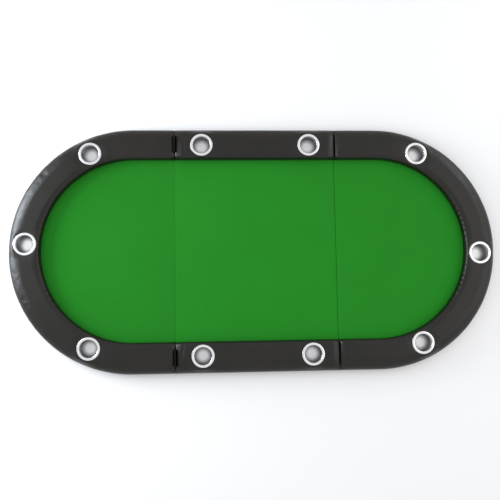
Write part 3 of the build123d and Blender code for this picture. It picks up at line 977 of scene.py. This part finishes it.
def turnOutline(name, outline, steps, material):
    # outline is a list of radius and height
    template = makeObject("outline", [(point[0], 0, point[1]) for point in outline], [])
    values = {"Outline": template, "Points": len(outline), "Steps": steps, "Material": material}
    piece = grow(name, latheTree, values)
    bpy.data.objects.remove(template)
    outwardFaces(piece)
    return piece


def placeCopies(name, part, places, material, turnSpread=0.0, seed=0):
    # places is a list of X, Y, Z and turn
    spots = makeObject("spots", [place[:3] for place in places], [])
    turns = spots.data.attributes.new("turn", "FLOAT", "POINT")
    turns.data.foreach_set("value", [place[3] for place in places])
    values = {
        "Places": spots,
        "Part": part,
        "Turn Spread": turnSpread,
        "Seed": seed,
        "Material": material,
    }
    piece = grow(name, copyTree, values)
    bpy.data.objects.remove(spots)
    return piece


cupShape = {
    "wall": 0.001,
    "cornerRound": 0.005,
    "lipRound": 0.0019,
    "flangeWidth": 0.012,
    "flangeIn": 0.0014,  # how far the flange's edge stays inside its solid's
    "edgeThick": 0.0004,
    "bead": (0.0277, 0.031, 0.0005),  # round the floor: inner and outer radius, and height
    "beadSlope": 0.0008,
    "turn": 0.7,  # of each cup against the one before it, in radians
    "steps": 72,
}


def cupOutline():
    p = cupShape
    bore = flangeRadius - p["flangeWidth"]
    outside = bore + p["wall"]
    low, top = (corner.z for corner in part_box(cupNodes[0]))
    floor = low + p["wall"]
    edge = flangeRadius - p["flangeIn"]
    underFlange = crown - 3 * hairGap
    beadIn, beadOut, beadHeight = p["bead"]
    corners = [
        (0, low + hairGap, 0),
        (outside, low + hairGap, p["cornerRound"] + p["wall"]),
        (outside, underFlange, 0.0006),
        (edge, underFlange, 0.0002),
        (edge, crown + p["edgeThick"], 0.0003),
        (edge - 0.0035, top - hairGap, 0.004),
        (bore, top, p["lipRound"]),
        (bore, floor, p["cornerRound"]),
        (beadOut, floor, 0.0008),
        (beadOut - p["beadSlope"], floor + beadHeight, 0.0006),
        (beadIn + p["beadSlope"], floor + beadHeight, 0.0006),
        (beadIn, floor, 0.0008),
        (0, floor, 0),
    ]
    return roundedPath(corners, 0.0042, closed=False)


cupBlank = turnOutline("cup_blank", cupOutline(), cupShape["steps"], cupSteel)
for panel in panels:
    own = [n for n in cupNodes if n.startswith(panel + "_")]
    turns = [cupShape["turn"] * i for i in range(len(own))]
    places = [(cupCentres[n].x, cupCentres[n].y, 0, turn) for n, turn in zip(own, turns)]
    cups = placeCopies(panel + "_steel_cups", cupBlank, places, cupSteel)
    smoothBy(cups, 60)
    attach(cups, panel)
    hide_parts(*own)
bpy.data.objects.remove(cupBlank)
print("cup holders turned and placed")


# separate solids of a node that holds several, as lists of their corners
def solidsOf(node):
    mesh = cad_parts[node].data
    keys = [tuple(round(c, 6) for c in vertex.co) for vertex in mesh.vertices]
    group = {key: key for key in keys}

    def root(key):
        while group[key] != key:
            group[key] = group[group[key]]
            key = group[key]
        return key

    for face in mesh.polygons:
        first = root(keys[face.vertices[0]])
        for corner in face.vertices[1:]:
            group[root(keys[corner])] = first
    solids = {}
    for key in group:
        solids.setdefault(root(key), []).append(Vector(key))
    return [solids[key] for key in sorted(solids)]


def middleOf(points):
    low = Vector([min(p[i] for p in points) for i in range(3)])
    high = Vector([max(p[i] for p in points) for i in range(3)])
    return (low + high) / 2


footShape = {
    "radius": 0.013,
    "hole": 0.0032,
    "screwHole": 0.0016,
    "sink": 0.0024,  # depth of the hole that the screw's head sits in
    "edge": 0.0006,
    "steps": 40,
}


def footOutline():
    p = footShape
    low, high = (corner.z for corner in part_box("left_feet"))
    underBoard = high - hairGap
    edge = p["edge"]
    corners = [
        (p["screwHole"], underBoard, 0),
        (p["radius"] - edge, underBoard, 0.0005),
        (p["radius"], high - 2 * edge, 0.0006),
        (p["radius"] - edge, low + edge, 0.0007),
        (p["radius"] - 0.0022, low, 0.0006),
        (p["hole"] + 2 * edge, low, 0.0005),
        (p["hole"], low + 0.0007, 0.0004),
        (p["hole"], low + p["sink"], 0),
        (p["screwHole"], low + p["sink"] + 0.0015, 0),
        (p["screwHole"], underBoard, 0),
    ]
    return roundedPath(corners, 0.0016, closed=False)


footBlank = turnOutline("foot_blank", footOutline(), footShape["steps"], footRubber)
for panel in panels:
    spots = [middleOf(solid) for solid in solidsOf(panel + "_feet")]
    places = [(spot.x, spot.y, 0, 0) for spot in spots]
    feet = placeCopies(panel + "_rubber_feet", footBlank, places, footRubber)
    smoothBy(feet, 50)
    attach(feet, panel)
    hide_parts(panel + "_feet")
bpy.data.objects.remove(footBlank)
print("feet turned and placed")


stapleWire = {
    "crown": 0.01,
    "width": 0.0011,
    "thick": 0.0005,
    "leg": 0.0025,
    "proud": 0.0004,
    "bend": 0.0009,
    "turnSpread": 0.16,
    "seed": 4,
}


def stapleBlank():
    # a flat wire bent up at both ends, its crown a little proud of the vinyl's hem
    p = stapleWire
    half = p["crown"] / 2
    corners = [
        (-half, p["leg"], 0),
        (-half, -p["proud"], p["bend"]),
        (half, -p["proud"], p["bend"]),
        (half, p["leg"], 0),
    ]
    path = roundedPath(corners, 0.004, closed=False)
    vertices, faces = [], []
    for index, point in enumerate(path):
        before, after = path[max(0, index - 1)], path[min(len(path) - 1, index + 1)]
        along = (after - before).normalized()
        out = Vector((-along.y, along.x)) * p["thick"] / 2
        for side, way in ((-1, 1), (1, 1), (1, -1), (-1, -1)):
            vertices.append((point.x + way * out.x, side * p["width"] / 2, point.y + way * out.y))
    for ring in range(len(path) - 1):
        for corner in range(4):
            a, b = ring * 4 + corner, ring * 4 + (corner + 1) % 4
            faces.append((a, b, b + 4, a + 4))
    last = len(vertices) - 4
    faces += [(0, 1, 2, 3), (last + 3, last + 2, last + 1, last)]
    blank = makeObject("staple_blank", vertices, faces)
    outwardFaces(blank)
    return blank


def longestWay(points):
    middle = middleOf(points)
    far = max(points, key=lambda p: (p - middle).xy.length)
    other = max(points, key=lambda p: (p - far).xy.length)
    return atan2(far.y - other.y, far.x - other.x)


blank = stapleBlank()
for panel in panels:
    places = []
    for solid in solidsOf(panel + "_cover_staples"):
        middle = middleOf(solid)
        places.append((middle.x, middle.y, hemBottom, longestWay(solid)))
    spread, seed = stapleWire["turnSpread"], stapleWire["seed"]
    staples = placeCopies(panel + "_hem_staples", blank, places, zincSteel, spread, seed)
    smoothBy(staples, 40)
    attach(staples, panel)
    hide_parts(panel + "_cover_staples")
bpy.data.objects.remove(blank)
print("staples placed")


# finishes of the pieces that stay as they are
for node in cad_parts:
    if node.endswith(("_board", "_rail_core")):
        dressNode(node, fibreboard)
    elif "_rail_hinge_" in node or node == "rail_hinge_pins":
        dressNode(node, blackSteel)
    elif node.endswith(("_leaf", "_pins", "_screws")):
        dressNode(node, zincSteel)
print("finishes set")


# floor, lights and camera
studio = {
    "floor": (0.94, 0.94, 0.945),
    "floorReach": 9,
    "world": ((0.985, 0.99, 1.0), 0.8),
    "camera": ((-0.197, -0.268, 2.831), (0.094, -0.060, -0.010), 46.15),
}
# name, place, what it points at, size across and up, watts and colour
lamps = [
    ("low_window", (-2.6, 0.5, 0.66), (-0.9, 0.1, 0.05), (1.5, 1.05), 68, (0.86, 0.93, 1.0)),
    ("high_window", (-1.9, 0.4, 1.8), (-0.5, 0.1, 0.05), (1.0, 0.6), 4, (0.88, 0.94, 1.0)),
    ("softbox", (3.1, 0.3, 2.3), (0.6, 0, 0), (3.4, 2.8), 24, (1.0, 0.98, 0.95)),
    ("far_side", (2.3, 1.5, 0.9), (0.6, 0.2, 0.05), (0.8, 0.6), 4, (0.82, 0.91, 1.0)),
]


def makeStudio():
    reach = studio["floorReach"]
    corners = [(-reach, -reach, 0), (reach, -reach, 0), (reach, reach, 0), (-reach, reach, 0)]
    ground = makeObject("studio_floor", corners, [(0, 1, 2, 3)])
    paper, tree, shader = newMaterial("pale_floor", studio["floor"], 0.9)
    shader.inputs["Specular IOR Level"].default_value = 0.1
    dress(ground, paper)
    world = bpy.data.worlds.new("soft_room")
    world.use_nodes = True
    background = world.node_tree.nodes["Background"]
    color, strength = studio["world"]
    background.inputs["Color"].default_value = (*color, 1)
    background.inputs["Strength"].default_value = strength
    bpy.context.scene.world = world
    for name, place, target, size, watts, color in lamps:
        lamp = bpy.data.lights.new(name, "AREA")
        lamp.shape = "RECTANGLE"
        lamp.size, lamp.size_y = size
        lamp.energy = watts
        lamp.color = color
        holder = bpy.data.objects.new(name, lamp)
        holder.location = place
        aim = Vector(target) - Vector(place)
        holder.rotation_euler = aim.to_track_quat("-Z", "Y").to_euler()
        bpy.context.scene.collection.objects.link(holder)
    place, turns, lens = studio["camera"]
    camera = bpy.data.cameras.new("camera")
    camera.lens = lens
    camera.sensor_width = 36
    holder = bpy.data.objects.new("camera", camera)
    holder.location = place
    holder.rotation_mode = "ZYX"
    holder.rotation_euler = turns
    bpy.context.scene.collection.objects.link(holder)
    bpy.context.scene.camera = holder
    bpy.context.scene.view_settings.view_transform = "Standard"


makeStudio()
bpy.context.view_layer.update()
